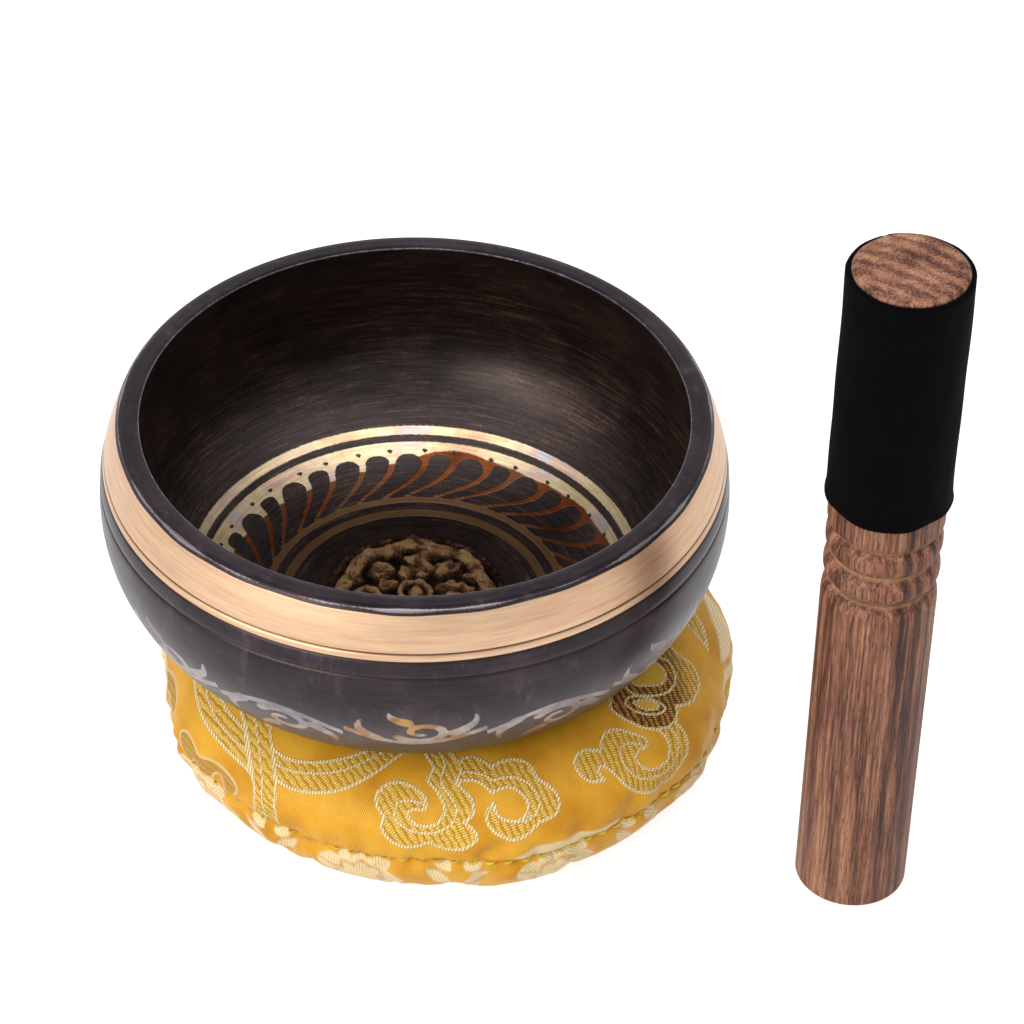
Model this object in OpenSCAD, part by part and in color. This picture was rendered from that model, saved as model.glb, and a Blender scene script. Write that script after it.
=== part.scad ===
// A cast bronze singing bowl on its ring cushion, with the mallet that plays it.
// The origin is the middle of the cushion's foot, on the table; +Z is up.

/* [Bowl] */
// Diameter at the widest part of the belly
bowl_d = 120; // [100:1:150]
// Outside diameter at the rim
rim_d = 111.8; // [90:0.1:140]
// Height of the casting, from its foot to the rim
bowl_h = 53; // [45:0.5:70]
// Depth of the widest part below the rim
belly_drop = 18; // [12:0.5:24]
// Diameter of the flat foot
foot_d = 37; // [20:0.5:60]
// Thickness of the rim's flat lip
rim_wall = 4.1; // [2:0.1:6]
// Thickness of the wall at the belly
belly_wall = 4.2; // [2:0.1:6]
// Thickness of the floor
floor_t = 6; // [3:0.25:9]
// Bevel on the lip's outer edge
lip_outer_bevel = 0.5; // [0.2:0.05:1]
// Bevel on the lip's inner edge
lip_inner_bevel = 0.3; // [0.1:0.05:1]

/* [Turned grooves] */
// Depth below the rim of the groove inside the bare band
upper_groove_drop = 8.2; // [5:0.1:9]
// Depth below the rim of the groove under the bare band
lower_groove_drop = 13.4; // [11:0.1:16]
// Width of a groove
groove_w = 0.6; // [0.3:0.05:1]
// Depth of a groove
groove_t = 0.25; // [0.1:0.05:0.5]

/* [Centre relief] */
// Diameter of the cast relief in the floor
relief_d = 35.8; // [24:0.2:44]
// Height of its beaded border above the floor
relief_h = 1.6; // [0.8:0.1:3]
// Diameter of the boss in its middle
boss_d = 17; // [8:0.5:24]
// Height of the boss above the border
boss_h = 1.6; // [0.5:0.1:3]

/* [Cushion] */
// Outside diameter of the ring
cushion_d = 111; // [90:1:150]
// Height of the ring's crest
cushion_h = 30; // [22:0.5:40]
// Diameter of the crest
crest_d = 72; // [60:1:90]
// Height of the two seams
seam_h = 14; // [10:0.5:18]
// Width of the hole in the middle, at the seam
hole_d = 14; // [8:0.5:24]
// How far the rounding under the ring reaches in from each seam
under_round = 19; // [8:0.5:22]
// Thickness of the brocade with its interlining
cloth_t = 0.8; // [0.5:0.1:1.5]
// Diameter of the seam thread
thread_d = 0.9; // [0.5:0.1:1.5]
// Height of the bowl's foot above the table
seat_h = 26; // [20:0.5:34]
// Gap between the bowl and the cushion's seat
seat_gap = 0.3; // [0.2:0.05:0.6]
// How far the bowl sits off the cushion's middle
bowl_offset = 6; // [0:0.5:8]

/* [Mallet] */
// Length of the mallet
mallet_l = 145; // [120:1:200]
// Diameter of the turned handle
handle_d = 21.2; // [18:0.1:26]
// Height of the first neck, at the top of the plain handle
neck_h = 76.1; // [60:0.1:90]
// Pitch of the two beads above it
bead_pitch = 6.4; // [4:0.1:9]
// Rounding of the handle's shoulder under the first neck
shoulder_h = 4; // [2:0.1:6]
// Depth of the first neck
first_neck_t = 2; // [1:0.1:3]
// Depth of the two necks above it
neck_t = 1.5; // [0.8:0.1:2.5]
// Length of bare wood between the upper neck and the suede
bare_l = 6.5; // [3:0.1:12]
// Diameter of the wood inside the suede
core_d = 20.4; // [16:0.1:24]
// Thickness of the suede
suede_t = 1; // [0.6:0.1:2]
// Bevel round the foot and the top of the wood
end_bevel = 0.8; // [0.3:0.1:1.5]
// Wood left showing above the suede
tip_l = 1; // [0.5:0.1:3]
// Distance of the mallet from the cushion's middle, along X
mallet_x = 78; // [76:0.5:120]
// Distance of the mallet from the cushion's middle, along Y
mallet_y = -42.5; // [-60:0.5:60]

/* [Hidden] */
$fn = 96;

bowl_r = bowl_d / 2;
rim_r = rim_d / 2;
foot_r = foot_d / 2;
// The wall above the belly is one arc that runs from the rim to the widest circle
upper_arc_r = (pow(bowl_r - rim_r, 2) + pow(belly_drop, 2)) / (2 * (bowl_r - rim_r));
belly_h = bowl_h - belly_drop;
bore_r = bowl_r - belly_wall;
rim_bore_r = rim_r - rim_wall;
bore_arc_r = (pow(bore_r - rim_bore_r, 2) + pow(belly_drop, 2)) / (2 * (bore_r - rim_bore_r));
relief_r = relief_d / 2;
cushion_r = cushion_d / 2;
crest_r = crest_d / 2;
hole_r = hole_d / 2;
suede_h = neck_h + 2 * bead_pitch + bare_l;

// Points of an elliptical arc, from one angle to another
function arc(centre, size, from, to, steps) =
    [for (i = [0 : steps]) let (a = from + (to - from) * i / steps)
        [centre[0] + size[0] * cos(a), centre[1] + size[1] * sin(a)]];

// Radius of the bowl's outside at a height between the belly and the rim
function upper_wall_r(z) = bowl_r - upper_arc_r + sqrt(pow(upper_arc_r, 2) - pow(z - belly_h, 2));

// Half of the bowl's outside, as a solid outline, made larger all round by a gap
module bowl_outside(gap = 0) {
    rim_angle = asin(belly_drop / upper_arc_r);
    polygon(concat(
        [[0, -gap]],
        arc([foot_r, belly_h], [bowl_r - foot_r + gap, belly_h + gap], -90, 0, 14),
        arc([bowl_r - upper_arc_r, belly_h], [upper_arc_r + gap, upper_arc_r + gap], 0, rim_angle, 6),
        [[0, bowl_h]]
    ));
}

// Half of the space inside the bowl, open past the rim
module bowl_inside() {
    rim_angle = asin(belly_drop / bore_arc_r);
    polygon(concat(
        [[0, floor_t]],
        arc([relief_r, belly_h], [bore_r - relief_r, belly_h - floor_t], -90, 0, 12),
        arc([bore_r - bore_arc_r, belly_h], [bore_arc_r, bore_arc_r], 0, rim_angle, 6),
        [[rim_bore_r, bowl_h + 1], [0, bowl_h + 1]]
    ));
}

// The two bevels that break the lip's edges
module lip_bevels() {
    polygon([
        [rim_r - lip_outer_bevel, bowl_h], [rim_r + 1, bowl_h - lip_outer_bevel - 1],
        [rim_r + 1, bowl_h + 1], [rim_r - lip_outer_bevel, bowl_h + 1]
    ]);
    polygon([
        [rim_bore_r + lip_inner_bevel, bowl_h], [rim_bore_r - 1, bowl_h - lip_inner_bevel - 1],
        [rim_bore_r - 1, bowl_h + 1], [rim_bore_r + lip_inner_bevel, bowl_h + 1]
    ]);
}

// One square groove turned into the outside
module turned_groove(drop) {
    z = bowl_h - drop;
    translate([upper_wall_r(z) - groove_t, z - groove_w / 2]) square([2, groove_w]);
}

// Stepped relief in the middle of the floor
module relief_outline() {
    polygon(concat(
        [[0, floor_t - 1], [relief_r, floor_t - 1], [relief_r, floor_t + relief_h]],
        [[boss_d / 2, floor_t + relief_h]],
        arc([0, floor_t + relief_h], [boss_d / 2 - 1, boss_h], 0, 90, 5)
    ));
}

module bowl() {
    color("#463e44")
    translate([-bowl_offset, 0, seat_h])
    rotate_extrude() {
        difference() {
            bowl_outside();
            bowl_inside();
            lip_bevels();
            turned_groove(upper_groove_drop);
            turned_groove(lower_groove_drop);
        }
        relief_outline();
    }
}

// Half section of the ring cushion, made smaller all round by an inset
module ring_section(inset = 0) {
    outer_low = [under_round - inset, seam_h - inset];
    outer_high = [cushion_r - crest_r - inset, cushion_h - seam_h - inset];
    inner_high = [crest_r - hole_r - inset, cushion_h - seam_h - inset];
    polygon(concat(
        arc([cushion_r - under_round, seam_h], outer_low, -90, 0, 5),
        arc([crest_r, seam_h], outer_high, 0, 90, 7),
        arc([crest_r, seam_h], inner_high, 90, 180, 7),
        arc([hole_r + under_round, seam_h], outer_low, 180, 270, 5)
    ));
}

// The ring with the seat that the bowl presses into it
module pressed_ring(inset = 0) {
    difference() {
        rotate_extrude() ring_section(inset);
        translate([-bowl_offset, 0, seat_h]) rotate_extrude() bowl_outside(seat_gap + inset);
    }
}

// The cover is everything between the cushion's outside and its wadding
module cover() {
    difference() {
        pressed_ring();
        pressed_ring(cloth_t);
    }
}

// A slab that keeps the part of the cover on one side of the seams
module seam_slab(z, h) {
    translate([0, 0, z]) cylinder(h = h, r = cushion_r + 5);
}

module cushion_top_panel() {
    color("#dba537") intersection() {
        cover();
        seam_slab(seam_h, cushion_h);
    }
}

module cushion_bottom_panel() {
    color("#d09a32") intersection() {
        cover();
        seam_slab(-1, seam_h + 1);
    }
}

module cushion_wadding() {
    color("#f2efe6") pressed_ring(cloth_t);
}

// A ring of thread laid on a seam
module seam_thread(r) {
    translate([0, 0, seam_h]) rotate_extrude() translate([r, 0]) circle(d = thread_d, $fn = 16);
}

module cushion_outer_seam() {
    color("#b8b04a") seam_thread(cushion_r + thread_d / 2);
}

module cushion_inner_seam() {
    color("#b8b04a") seam_thread(hole_r - thread_d / 2);
}

// Half outline of a neck and the bead above it, from one neck to the next
function bead(z, low_t, high_t) =
    [for (i = [0 : 8]) let (t = i / 8, depth = low_t + (high_t - low_t) * t)
        [handle_d / 2 - depth * pow(abs(2 * t - 1), 2.4), z + bead_pitch * t]];

module mallet_stick() {
    r = handle_d / 2;
    core_r = core_d / 2;
    upper_neck_h = neck_h + 2 * bead_pitch;
    color("#5a3a2c")
    translate([mallet_x, mallet_y, 0])
    rotate_extrude() polygon(concat(
        [[0, 0], [r - end_bevel, 0], [r, end_bevel]],
        arc([r - first_neck_t, neck_h - shoulder_h], [first_neck_t, shoulder_h], 0, 90, 5),
        bead(neck_h, first_neck_t, neck_t),
        bead(neck_h + bead_pitch, neck_t, neck_t),
        arc([r - neck_t, upper_neck_h + neck_t], [neck_t, neck_t], -90, 0, 4),
        [[r, suede_h], [core_r, suede_h]],
        [[core_r, mallet_l - end_bevel], [core_r - end_bevel, mallet_l], [0, mallet_l]]
    ));
}

module mallet_suede_wrap() {
    wrap_l = mallet_l - tip_l - suede_h;
    color("#141216")
    translate([mallet_x, mallet_y, suede_h])
    difference() {
        cylinder(h = wrap_l, d = core_d + 2 * suede_t);
        translate([0, 0, -1]) cylinder(h = wrap_l + 2, d = core_d);
    }
}

bowl();
cushion_top_panel();
cushion_bottom_panel();
cushion_wadding();
cushion_outer_seam();
cushion_inner_seam();
mallet_stick();
mallet_suede_wrap();
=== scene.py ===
"""The looks of a cast bronze singing bowl, its ring cushion and its mallet."""
import math

import bpy
import numpy as np
from mathutils import Matrix, Vector


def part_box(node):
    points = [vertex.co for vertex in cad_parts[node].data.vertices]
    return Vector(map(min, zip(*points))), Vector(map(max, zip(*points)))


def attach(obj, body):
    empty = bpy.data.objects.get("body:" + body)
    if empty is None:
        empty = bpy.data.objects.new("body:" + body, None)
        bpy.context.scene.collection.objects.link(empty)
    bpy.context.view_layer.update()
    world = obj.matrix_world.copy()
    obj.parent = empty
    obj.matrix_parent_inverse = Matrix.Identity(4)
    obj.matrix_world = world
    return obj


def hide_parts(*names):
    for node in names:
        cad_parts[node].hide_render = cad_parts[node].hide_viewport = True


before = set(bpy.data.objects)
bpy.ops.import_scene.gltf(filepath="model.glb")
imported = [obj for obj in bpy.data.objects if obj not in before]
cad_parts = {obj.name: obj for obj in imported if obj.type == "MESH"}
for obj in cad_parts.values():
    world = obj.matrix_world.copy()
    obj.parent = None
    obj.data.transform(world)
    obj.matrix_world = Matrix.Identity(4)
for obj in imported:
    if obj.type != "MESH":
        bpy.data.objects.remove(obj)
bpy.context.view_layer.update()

MM = 0.001
TURN = 2 * math.pi
WELD = 0.002 * MM

# ------------------------------------------------------------------ sizes, in millimetres
# from the frame where it holds them, and else as the part was designed
bowl_low, bowl_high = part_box("bowl")
BOWL_X = (bowl_low.x + bowl_high.x) / 2 / MM
FOOT_Z = bowl_low.z / MM
RIM_Z = bowl_high.z / MM
BOWL_H = RIM_Z - FOOT_Z
BOWL_R = (bowl_high.x - bowl_low.x) / 2 / MM
RIM_R = 55.9
RIM_WALL = 4.1
BELLY_WALL = 4.2
BELLY_DROP = 18
FLOOR_T = 6
FOOT_R = 18.5
RELIEF_R = 17.9
BELLY_H = BOWL_H - BELLY_DROP

pad_low, pad_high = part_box("cushion_bottom_panel")
CUSHION_R = (pad_high.x - pad_low.x) / 2 / MM
CUSHION_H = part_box("cushion_top_panel")[1].z / MM
CREST_R = 36
SEAM_H = 14
HOLE_R = 7
UNDER_ROUND = 19

stick_low, stick_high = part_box("mallet_stick")
MALLET_X = (stick_low.x + stick_high.x) / 2 / MM
MALLET_Y = (stick_low.y + stick_high.y) / 2 / MM
MALLET_L = stick_high.z / MM
suede_low, suede_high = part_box("mallet_suede_wrap")
SUEDE_R = (suede_high.x - suede_low.x) / 2 / MM
SUEDE_LOW = suede_low.z / MM
SUEDE_TOP = suede_high.z / MM
FIRST_NECK = 76.1   # the height of the lowest neck in the mallet's grip
BEAD = 6.4          # from one neck to the next

WAVE = 0.314        # a wave texture repeats after this much at scale 1


# ------------------------------------------------------------------ making helpers
def linear(colour):
    """An sRGB hex colour, turned to the linear colour that a shader takes."""
    channels = [int(colour[i:i + 2], 16) / 255 for i in (1, 3, 5)]
    return [c / 12.92 if c <= 0.04045 else ((c + 0.055) / 1.055) ** 2.4 for c in channels] + [1]


def add(tree, kind, inputs=None, stops=(), **settings):
    """Adds one node to a tree, with its settings, and fills its inputs or links them to other nodes."""
    node = tree.nodes.new("ShaderNode" + kind)
    for name, value in settings.items():
        setattr(node, name, value)
    for place, colour in stops:
        node.color_ramp.elements.new(place).color = linear(colour)
    if stops:
        node.color_ramp.elements.remove(node.color_ramp.elements[0])
        node.color_ramp.elements.remove(node.color_ramp.elements[-1])
    for name, value in (inputs or {}).items():
        if isinstance(value, bpy.types.Node):
            value = value.outputs[0]
        if isinstance(value, bpy.types.NodeSocket):
            tree.links.new(value, node.inputs[name])
        else:
            node.inputs[name].default_value = linear(value) if isinstance(value, str) else value
    return node


def new_material(name):
    """An empty material and its node tree."""
    material = bpy.data.materials.new(name)
    material.use_nodes = True
    material.node_tree.nodes.clear()
    return material, material.node_tree


def streaked(tree, place, squeeze, detail, roughness, shift=(0, 0, 0)):
    """A noise drawn out into streaks, by how tightly it is squeezed along x, y and z."""
    laid = add(tree, "Mapping", {"Vector": place, "Scale": squeeze, "Location": shift})
    return add(tree, "TexNoise", {"Vector": laid, "Scale": 1, "Detail": detail, "Roughness": roughness})


def weighted(tree, *parts):
    """The sum of some patterns, each times its own weight."""
    total = 0.0
    for pattern, weight in parts:
        total = add(tree, "Math", {0: pattern, 1: weight, 2: total}, operation="MULTIPLY_ADD")
    return total


def strongest(tree, first, *others):
    """The strongest of some masks at each point."""
    for other in others:
        first = add(tree, "Math", {0: first, 1: other}, operation="MAXIMUM")
    return first


def lay_over(tree, colour, covers, blend="MIX"):
    """Lays colours over a first one, each where its own mask says."""
    for mask, over in covers:
        mix = add(tree, "Mix", {0: mask, 6: colour, 7: over}, data_type="RGBA", blend_type=blend)
        colour = mix.outputs[2]
    return colour


def arc(centre, radii, start, end, steps):
    """Points along a stretch of an ellipse, from one angle in degrees to another, the first left out."""
    angles = np.radians(np.linspace(start, end, steps + 1)[1:])
    return [(centre[0] + radii[0] * math.cos(a), centre[1] + radii[1] * math.sin(a)) for a in angles]


def lathe(name, outline, centre, columns):
    """Turns an outline of (radius, height) points about an upright axis, as on a lathe."""
    bpy.ops.object.select_all(action="DESELECT")
    first = outline[0]
    place = ((centre[0] + first[0]) * MM, centre[1] * MM, first[1] * MM)
    bpy.ops.mesh.primitive_plane_add(size=MM, location=place)
    bpy.ops.object.transform_apply(location=True, rotation=True, scale=True)
    piece = bpy.context.object
    piece.name = name
    bpy.ops.object.mode_set(mode="EDIT")
    bpy.ops.mesh.select_all(action="SELECT")
    bpy.ops.mesh.merge(type="CENTER")
    for here, there in zip(outline, outline[1:]):
        step = ((there[0] - here[0]) * MM, 0, (there[1] - here[1]) * MM)
        bpy.ops.mesh.extrude_region_move(TRANSFORM_OT_translate={"value": step})
    bpy.ops.mesh.select_all(action="SELECT")
    middle = (centre[0] * MM, centre[1] * MM, 0)
    bpy.ops.mesh.spin(steps=columns, angle=TURN, center=middle, axis=(0, 0, 1))
    bpy.ops.mesh.select_all(action="SELECT")
    bpy.ops.mesh.remove_doubles(threshold=WELD)
    bpy.ops.mesh.normals_make_consistent(inside=False)
    bpy.ops.object.mode_set(mode="OBJECT")
    return piece


def points_of(piece):
    """Every vertex of a piece, in millimetres."""
    flat = np.empty(len(piece.data.vertices) * 3)
    piece.data.vertices.foreach_get("co", flat)
    return flat.reshape(-1, 3) / MM


def move_points(piece, points):
    """Puts a piece's vertices at new places, given in millimetres."""
    piece.data.vertices.foreach_set("co", (points * MM).ravel())
    piece.data.update()


def store(piece, name, values):
    """Keeps one number or vector for each vertex, which a material reads by name."""
    kind, key = ("FLOAT", "value") if values.ndim == 1 else ("FLOAT_VECTOR", "vector")
    layer = piece.data.attributes.new(name, kind, "POINT")
    layer.data.foreach_set(key, values.astype("f").ravel())


def rows_of(points, centre, outline):
    """For each vertex of a turned piece: its radius, its angle and its row of the outline."""
    x, y = points[:, 0] - centre[0], points[:, 1] - centre[1]
    radius = np.hypot(x, y)
    row = np.zeros(len(points), int)
    best = np.full(len(points), 1e9)
    for number, (r, z) in enumerate(outline):
        gap = (radius - r) ** 2 + (points[:, 2] - z) ** 2
        row = np.where(gap < best, number, row)
        best = np.minimum(gap, best)
    return radius, np.arctan2(y, x), row


def finish_piece(piece, body, material, smooth=60):
    """Gives a piece its material, its smooth shading and its body."""
    bpy.ops.object.select_all(action="DESELECT")
    piece.select_set(True)
    bpy.context.view_layer.objects.active = piece
    bpy.ops.object.shade_smooth_by_angle(angle=math.radians(smooth))
    piece.data.materials.clear()
    piece.data.materials.append(material)
    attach(piece, body)


# ------------------------------------------------------------------ outlines and distances for patterns
def smooth_outline(corners, rounds=5):
    """A smooth closed outline through a few points; a point given twice stays a sharp corner."""
    corners = np.array(corners, float)
    before, after, beyond = (np.roll(corners, shift, axis=0) for shift in (1, -1, -2))
    share = np.linspace(0, 1, rounds, endpoint=False)[:, None, None]
    bent = (
        2 * corners
        + (after - before) * share
        + (2 * before - 5 * corners + 4 * after - beyond) * share ** 2
        + (3 * corners - before - 3 * after + beyond) * share ** 3
    ) / 2
    return bent.transpose(1, 0, 2).reshape(-1, 2)


def inside_by(x, y, outline, reach=4):
    """How far each point is inside a closed outline; negative outside, and never beyond the reach."""
    outline = np.asarray(outline)
    low, high = outline.min(axis=0) - reach, outline.max(axis=0) + reach
    near = (x > low[0]) & (x < high[0]) & (y > low[1]) & (y < high[1])
    px, py = x[near], y[near]
    away = np.full(len(px), float(reach))
    inside = np.zeros(len(px), bool)
    for (ax, ay), (bx, by) in zip(outline, np.roll(outline, -1, axis=0)):
        length = max((bx - ax) ** 2 + (by - ay) ** 2, 1e-9)
        along = np.clip(((px - ax) * (bx - ax) + (py - ay) * (by - ay)) / length, 0, 1)
        away = np.minimum(away, np.hypot(px - ax - along * (bx - ax), py - ay - along * (by - ay)))
        level = (ay > py) != (by > py)
        inside ^= level & (px < (bx - ax) * (py - ay) / (by - ay + 1e-12) + ax)
    result = np.full(len(x), -float(reach))
    result[near] = np.where(inside, away, -away)
    return result


# ------------------------------------------------------------------ the bowl
# how far below the rim the turned lines lie: two grooves, and the bare band's lower edge between them
UPPER_GROOVE, BAND_EDGE, LOWER_GROOVE = 8.2, 9.8, 13.35


def dips(drop):
    """How deep the turned lines are cut into the outside, by the drop below the rim."""
    upper = 0.25 * np.exp(-((drop - UPPER_GROOVE) / 0.22) ** 2)
    lower = 0.25 * np.exp(-((drop - LOWER_GROOVE) / 0.26) ** 2)
    step = 0.16 * np.exp(-((drop - BAND_EDGE) / 0.2) ** 2)
    swell = -0.1 * np.exp(-((drop - 11.6) / 1.1) ** 2)
    return upper + lower + step + swell


def bowl_outline():
    """The bowl's section from the foot, up the outside, over the lip and down to the floor's middle."""
    upper_r = ((BOWL_R - RIM_R) ** 2 + BELLY_DROP ** 2) / (2 * (BOWL_R - RIM_R))
    bore_r = BOWL_R - BELLY_WALL
    bore_rim = RIM_R - RIM_WALL
    inner_r = ((bore_r - bore_rim) ** 2 + BELLY_DROP ** 2) / (2 * (bore_r - bore_rim))
    foot = [(0, 0), (8, 0), (FOOT_R - 0.8, 0), (FOOT_R, 0.02)]
    ball = ((FOOT_R, BELLY_H), (BOWL_R - FOOT_R, BELLY_H))
    belly = arc(*ball, -90, -44, 12) + arc(*ball, -44, -3, 42) + arc(*ball, -3, 0, 1)
    fine = [shaded_groove + step for shaded_groove in (UPPER_GROOVE, BAND_EDGE, LOWER_GROOVE)
            for step in (-0.5, -0.3, -0.15, 0, 0.15, 0.3, 0.5)]
    plain = [drop for drop in np.arange(0.9, 17.5, 1.1) if min(abs(drop - f) for f in fine) > 0.3]
    drops = sorted(fine + plain + [0.65], reverse=True)
    upper = [(BOWL_R - upper_r + math.sqrt(upper_r ** 2 - (BELLY_DROP - d) ** 2) - dips(d), BOWL_H - d)
             for d in drops]
    lip = [(RIM_R - 0.02, BOWL_H - 0.45), (RIM_R - 0.14, BOWL_H - 0.18), (RIM_R - 0.45, BOWL_H)]
    lip += [(RIM_R - 1.4, BOWL_H), (RIM_R - 2.7, BOWL_H), (bore_rim + 0.3, BOWL_H)]
    lip += [(bore_rim + 0.08, BOWL_H - 0.1), (bore_rim, BOWL_H - 0.3)]
    bore = [(bore_r - inner_r + math.sqrt(inner_r ** 2 - (BELLY_DROP - d) ** 2), BOWL_H - d)
            for d in np.linspace(2, BELLY_DROP, 9)]
    inner = ((RELIEF_R, BELLY_H), (bore_r - RELIEF_R, BELLY_H - FLOOR_T))
    well = arc(*inner, 0, -45, 10) + arc(*inner, -45, -83, 46) + arc(*inner, -83, -90, 3)
    floor = [(RELIEF_R - 1, FLOOR_T), (0, FLOOR_T)]
    outline = foot + belly + upper + lip + bore + well + floor
    return [(r, z + FOOT_Z) for r, z in outline], len(foot + belly + upper), len(foot + belly + upper + lip)


LEAVES = 37
LEAF_TOP, LEAF_END = 39.4, 29.8
NOTCH_TOP = 39.75
BORDER_R = 41.3
RINGS = [(43.3, 0.8), (28.9, 0.7), (25.6, 0.9)]


def leaf_border(radius, angle):
    """How far a point of the inside wall is into the gilt border: plain rings and swept leaves."""
    share = np.clip((LEAF_TOP - radius) / (LEAF_TOP - LEAF_END), -0.3, 1.2)
    held = np.clip(share, 0, 1)
    sweep = np.radians(15 * held ** 2.2 - 1.3 * np.sin(math.pi * held))
    slant = np.radians(33 * held ** 1.2) * radius / (LEAF_TOP - LEAF_END)
    pitch = TURN / LEAVES
    place = (angle - sweep) / pitch
    vein = np.full(len(radius), -9.0)
    notch = np.full(len(radius), -9.0)
    for step in (-1, 0, 1):
        number = np.round(place) + step
        uneven = 0.055 * np.where(number % 2 == 0, 1, -1) + 0.04 * np.sin(number * 2.4)
        across = (place - number - uneven) * pitch * radius / np.sqrt(1 + slant ** 2)
        half = 0.74 - 0.42 * held
        vein = np.maximum(vein, half - np.abs(across))
        notch = np.maximum(notch, 0.62 - 0.9 * (NOTCH_TOP - radius) - np.abs(across))
    vein = np.where(share > 1.02, -9, vein)
    notch = np.where(radius > NOTCH_TOP, NOTCH_TOP - radius, notch)
    between_leaves = np.abs(2 * (place - np.floor(place)) - 1)
    head = 38.9 - 2.4 * between_leaves ** 3
    leaves = np.maximum(radius - head, np.where(radius < LEAF_TOP + 0.5, vein, -9))
    leaves = np.minimum(np.minimum(leaves, BORDER_R - radius), -notch)
    for middle, half in RINGS:
        leaves = np.maximum(leaves, half - np.abs(radius - middle))
    return np.clip(leaves, -3, 3)


def stroke(x, y, path, thick, thin=None):
    """How far a point is inside a brush stroke along a path, thick at its start and thin at its end."""
    best = np.full(len(x), -9.0)
    thin = thick if thin is None else thin
    count = len(path) - 1
    for number, ((ax, ay), (bx, by)) in enumerate(zip(path, path[1:])):
        length = max((bx - ax) ** 2 + (by - ay) ** 2, 1e-9)
        along = np.clip(((x - ax) * (bx - ax) + (y - ay) * (by - ay)) / length, 0, 1)
        half = (thick + (thin - thick) * (number + along) / count) / 2
        best = np.maximum(best, half - np.hypot(x - ax - along * (bx - ax), y - ay - along * (by - ay)))
    return best


SCROLL_CELLS = 14
SCROLL_R, SCROLL_Z = 52, 24.5


def vine_scroll(height, angle):
    """How far a point of the outside is into the etched vine scroll that runs round the belly."""
    wide = TURN * SCROLL_R / SCROLL_CELLS
    place = angle / TURN * SCROLL_CELLS
    cell = np.floor(place)
    x = (place - cell - 0.5) * wide
    side = np.where(cell % 2 == 0, 1, -1)
    y = (height - SCROLL_Z) * 1.08 * side
    best = np.full(len(x), -9.0)
    swing = [(-0.75 * wide + 1.5 * wide * t, -4.6 * math.cos(math.pi * (1.5 * t - 0.75)) + 1.2)
             for t in np.linspace(0, 1, 25)]
    best = np.maximum(best, stroke(x, y, swing, 1.5))
    curl = [(1.2 + (4.6 - 3.4 * t) * math.cos(math.radians(-150 + 430 * t)),
             1.2 + (3.9 - 2.9 * t) * math.sin(math.radians(-150 + 430 * t))) for t in np.linspace(0, 1, 22)]
    best = np.maximum(best, stroke(x, y, curl, 1.9, 1.1))
    for (ax, ay), (bx, by), bend in [((-6.5, -1.5), (-8.6, 5.2), 1.6), ((6.4, 0.5), (9.6, 6.4), -1.4),
                                     ((-1.5, 4.6), (-4.2, 7.4), 0.8)]:
        leaf = [(ax + (bx - ax) * t - bend * math.sin(math.pi * t), ay + (by - ay) * t)
                for t in np.linspace(0, 1, 7)]
        best = np.maximum(best, stroke(x, y, leaf, 2.6, 0.5))
    return np.clip(best, -3, 3)


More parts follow.
